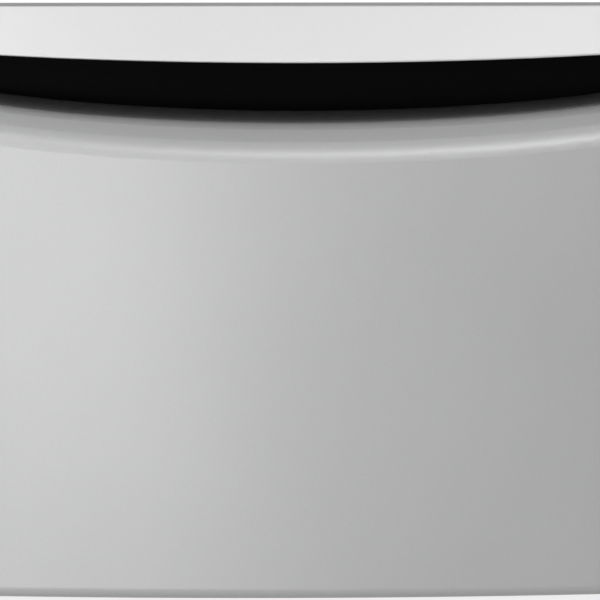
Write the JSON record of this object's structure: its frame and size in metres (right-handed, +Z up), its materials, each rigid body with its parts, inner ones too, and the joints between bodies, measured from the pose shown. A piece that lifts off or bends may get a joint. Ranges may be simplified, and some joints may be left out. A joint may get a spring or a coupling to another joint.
{
  "type": "laundry pedestal",
  "caption": "Low bowed-front pedestal for a front load washer: storage drawer on telescopic slides, smile-shaped finger recess, bolt-down deck and screw-in levelling feet.",
  "frame": {"origin": "on the floor under the middle of the outer box, between the four feet", "axes": "+Z up, +Y from the bowed drawer front to the rear panel, +X to the right seen from the front"},
  "size_m": [0.686, 0.76, 0.3604],
  "materials": {
    "silver_paint": "satin metallic paint",
    "pale_silver_paint": "satin metallic paint on moulded plastic",
    "grey_deck_paint": "matte powder coat",
    "black_plastic": "fine grain",
    "grey_plastic": "fine grain",
    "bin_paint": "smooth powder coat",
    "galvanised_steel": "galvanised sheet with faint spangle",
    "slide_steel": "bright zinc plate",
    "cage_steel": "zinc plate",
    "polished_balls": "polished",
    "zinc_fasteners": "zinc plate",
    "black_rubber": "matte"
  },
  "bodies": {
    "cabinet": {"fascia": "pale_silver_paint", "fascia_screws": "zinc_fasteners", "top_deck": "grey_deck_paint", "deck_screws": "zinc_fasteners", "side_panel_left": "silver_paint", "side_panel_right": "silver_paint", "rear_panel": "galvanised_steel", "rear_panel_screws": "zinc_fasteners", "top_rail_front": "galvanised_steel", "top_rail_rear": "galvanised_steel", "deck_beam_left": "galvanised_steel", "deck_beam_right": "galvanised_steel", "base_rail_left": "galvanised_steel", "base_rail_right": "galvanised_steel", "base_rail_front": "galvanised_steel", "base_rail_rear": "galvanised_steel", "corner_gussets": "galvanised_steel", "foot_weld_nuts": "zinc_fasteners", "foot_lock_nuts": "zinc_fasteners", "drawer_bumpers": "black_rubber", "slide_outer_left": "slide_steel", "slide_outer_right": "slide_steel", "slide_brackets_left": "galvanised_steel", "slide_brackets_right": "galvanised_steel", "slide_screws_left": "zinc_fasteners", "slide_screws_right": "zinc_fasteners"},
    "drawer": {"front_skin": "silver_paint", "front_inner_panel": "grey_plastic", "handle_scoop": "black_plastic", "scoop_screws": "zinc_fasteners", "bin_side_left": "bin_paint", "bin_side_right": "bin_paint", "bin_bottom": "bin_paint", "bin_back": "bin_paint", "front_screws": "zinc_fasteners", "drawer_slide_screws": "zinc_fasteners", "slide_inner_left": "slide_steel", "slide_inner_right": "slide_steel"},
    "slide_middle_left": {"slide_middle_left": "slide_steel"},
    "ball_cage_outer_left": {"ball_cage_outer_left": "cage_steel", "balls_outer_left": "polished_balls"},
    "ball_cage_inner_left": {"ball_cage_inner_left": "cage_steel", "balls_inner_left": "polished_balls"},
    "slide_middle_right": {"slide_middle_right": "slide_steel"},
    "ball_cage_outer_right": {"ball_cage_outer_right": "cage_steel", "balls_outer_right": "polished_balls"},
    "ball_cage_inner_right": {"ball_cage_inner_right": "cage_steel", "balls_inner_right": "polished_balls"},
    "foot_left_front": {"foot_stud_left_front": "zinc_fasteners", "foot_pad_left_front": "black_rubber"},
    "foot_left_rear": {"foot_stud_left_rear": "zinc_fasteners", "foot_pad_left_rear": "black_rubber"},
    "foot_right_front": {"foot_stud_right_front": "zinc_fasteners", "foot_pad_right_front": "black_rubber"},
    "foot_right_rear": {"foot_stud_right_rear": "zinc_fasteners", "foot_pad_right_rear": "black_rubber"}
  },
  "joints": [
    {"name": "drawer_slide", "type": "slide", "parent": "cabinet", "child": "drawer", "axis": [0, -1, 0], "range_m": [0, 0.53]},
    {"name": "slide_middle_left_slide", "type": "slide", "parent": "cabinet", "child": "slide_middle_left", "axis": [0, -1, 0], "range_m": [0, 0.265]},
    {"name": "ball_cage_outer_left_slide", "type": "slide", "parent": "cabinet", "child": "ball_cage_outer_left", "axis": [0, -1, 0], "range_m": [0, 0.1325]},
    {"name": "ball_cage_inner_left_slide", "type": "slide", "parent": "cabinet", "child": "ball_cage_inner_left", "axis": [0, -1, 0], "range_m": [0, 0.3975]},
    {"name": "slide_middle_right_slide", "type": "slide", "parent": "cabinet", "child": "slide_middle_right", "axis": [0, -1, 0], "range_m": [0, 0.265]},
    {"name": "ball_cage_outer_right_slide", "type": "slide", "parent": "cabinet", "child": "ball_cage_outer_right", "axis": [0, -1, 0], "range_m": [0, 0.1325]},
    {"name": "ball_cage_inner_right_slide", "type": "slide", "parent": "cabinet", "child": "ball_cage_inner_right", "axis": [0, -1, 0], "range_m": [0, 0.3975]},
    {"name": "foot_left_front_screw", "type": "slide", "parent": "cabinet", "child": "foot_left_front", "axis": [0, 0, -1], "range_m": [0, 0.015]},
    {"name": "foot_left_rear_screw", "type": "slide", "parent": "cabinet", "child": "foot_left_rear", "axis": [0, 0, -1], "range_m": [0, 0.015]},
    {"name": "foot_right_front_screw", "type": "slide", "parent": "cabinet", "child": "foot_right_front", "axis": [0, 0, -1], "range_m": [0, 0.015]},
    {"name": "foot_right_rear_screw", "type": "slide", "parent": "cabinet", "child": "foot_right_rear", "axis": [0, 0, -1], "range_m": [0, 0.015]}
  ],
  "couplings": [
    {"joint": "slide_middle_left_slide", "follows": "drawer_slide", "ratio": 0.5},
    {"joint": "ball_cage_outer_left_slide", "follows": "drawer_slide", "ratio": 0.25},
    {"joint": "ball_cage_inner_left_slide", "follows": "drawer_slide", "ratio": 0.75},
    {"joint": "slide_middle_right_slide", "follows": "drawer_slide", "ratio": 0.5},
    {"joint": "ball_cage_outer_right_slide", "follows": "drawer_slide", "ratio": 0.25},
    {"joint": "ball_cage_inner_right_slide", "follows": "drawer_slide", "ratio": 0.75}
  ]
}
